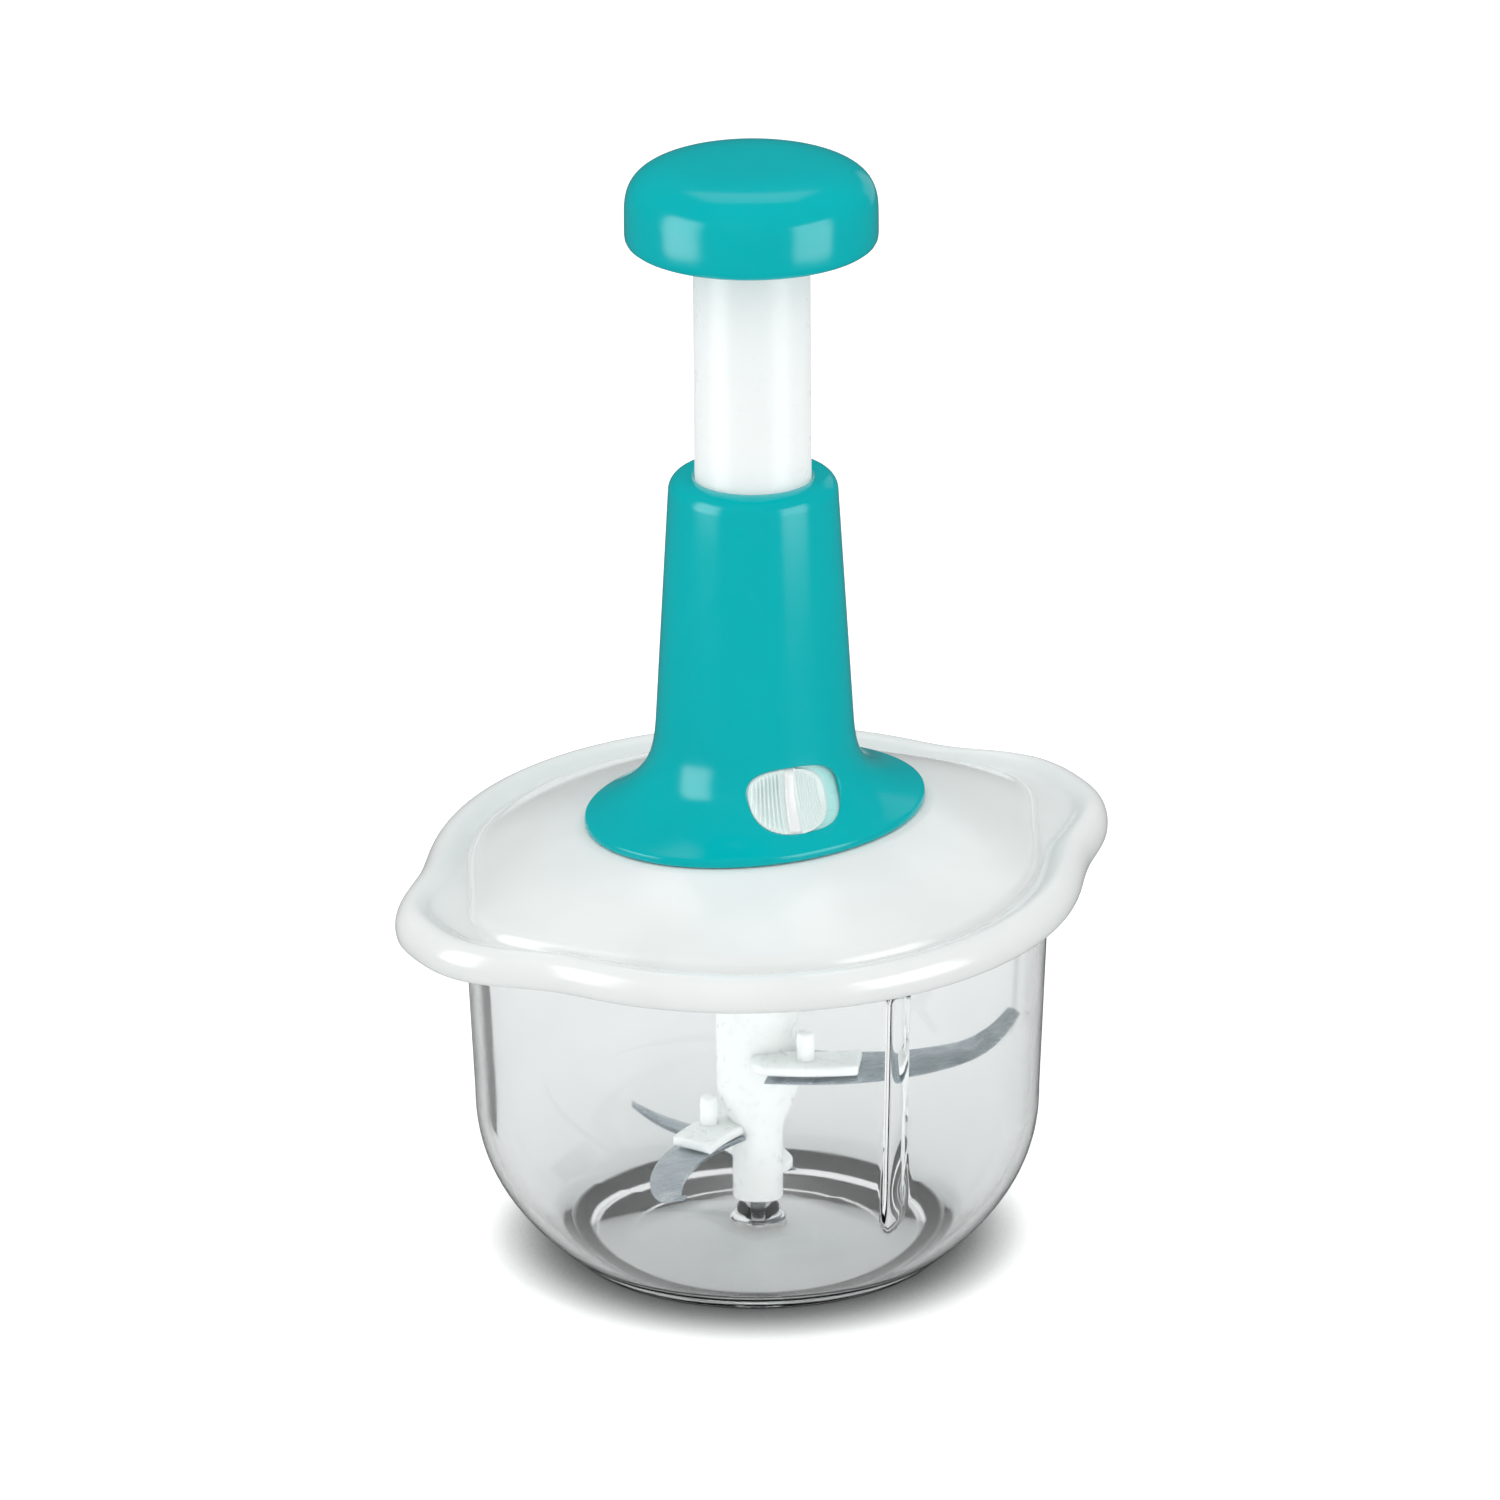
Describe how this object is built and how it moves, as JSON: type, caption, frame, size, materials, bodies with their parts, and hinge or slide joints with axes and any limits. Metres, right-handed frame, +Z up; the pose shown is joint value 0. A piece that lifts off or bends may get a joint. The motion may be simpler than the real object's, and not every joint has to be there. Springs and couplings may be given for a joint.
{
  "type": "plunger food chopper",
  "caption": "Hand-pushed food chopper: a palm knob drives a spiral rod that spins curved blades on a hub in a clear bowl with a lift-off lid and flared tower.",
  "frame": {"origin": "middle of the bowl's foot, where it stands on the table", "axes": "+Z up along the plunger, X through the lid's two ears, -Y the front with one bowl rib and, a little to its left, the lock slider"},
  "size_m": [0.1848, 0.1568, 0.266],
  "materials": {
    "clear_bowl": "clear gloss",
    "lid_white": "gloss",
    "seal_rubber": "matt",
    "teal_shell": "gloss",
    "guide_white": "satin",
    "drive_white": "satin",
    "drive_grey": "satin",
    "slider_white": "satin",
    "tube_white": "gloss",
    "hub_white": "satin",
    "blade_steel": "brushed",
    "rod_steel": "satin",
    "pin_steel": "satin",
    "screw_steel": "satin",
    "spring_steel": "satin",
    "bush_brass": "satin"
  },
  "bodies": {
    "base": {"bowl": "clear_bowl", "bowl_pin": "pin_steel"},
    "lid": {"lid": "lid_white", "lid_seal": "seal_rubber", "tower": "teal_shell", "guide_bush": "guide_white", "drive_housing": "drive_white", "spring_seat": "drive_grey", "return_spring": "spring_steel", "drive_screw_1": "screw_steel", "drive_screw_2": "screw_steel", "drive_screw_3": "screw_steel"},
    "lock": {"lock_slider": "slider_white"},
    "plunger": {"plunger_tube": "tube_white", "knob": "teal_shell", "knob_base": "teal_shell", "spiral_rod": "rod_steel", "rod_holder": "drive_grey", "rod_pin": "pin_steel"},
    "nut": {"drive_nut": "drive_grey"},
    "coupler": {"clutch_coupler": "drive_grey"},
    "blades": {"blade_hub": "hub_white", "hub_bush": "bush_brass", "blade_upper": "blade_steel", "blade_middle": "blade_steel", "blade_lower": "blade_steel", "blade_peg_upper": "hub_white", "blade_peg_middle": "hub_white", "blade_peg_lower": "hub_white"}
  },
  "joints": [
    {"name": "lid_lift", "type": "slide", "parent": "base", "child": "lid", "axis": [0, 0, 1], "range_m": [0, 0.11]},
    {"name": "plunger_push", "type": "slide", "parent": "lid", "child": "plunger", "axis": [0, 0, -1], "range_m": [0, 0.055], "stiffness_N_per_m": 200, "springref_m": -0.02, "deforming": ["return_spring"]},
    {"name": "lock_slide", "type": "hinge", "parent": "lid", "child": "lock", "pos_m": [0, 0, 0.12], "axis": [0, 0, 1], "range_deg": [0, 5]},
    {"name": "nut_spin", "type": "hinge", "parent": "lid", "child": "nut", "pos_m": [0, 0, 0.1], "axis": [0, 0, 1], "range_deg": [-720, 0]},
    {"name": "coupler_spin", "type": "hinge", "parent": "lid", "child": "coupler", "pos_m": [0, 0, 0.092], "axis": [0, 0, 1], "range_deg": [-720, 0]},
    {"name": "blade_spin", "type": "hinge", "parent": "base", "child": "blades", "pos_m": [0, 0, 0.0243], "axis": [0, 0, 1], "range_deg": [-720, 0]}
  ],
  "couplings": [
    {"joint": "nut_spin", "follows": "plunger_push", "rad_per_m": -224.4},
    {"joint": "coupler_spin", "follows": "plunger_push", "rad_per_m": -224.4},
    {"joint": "blade_spin", "follows": "plunger_push", "rad_per_m": -224.4}
  ]
}
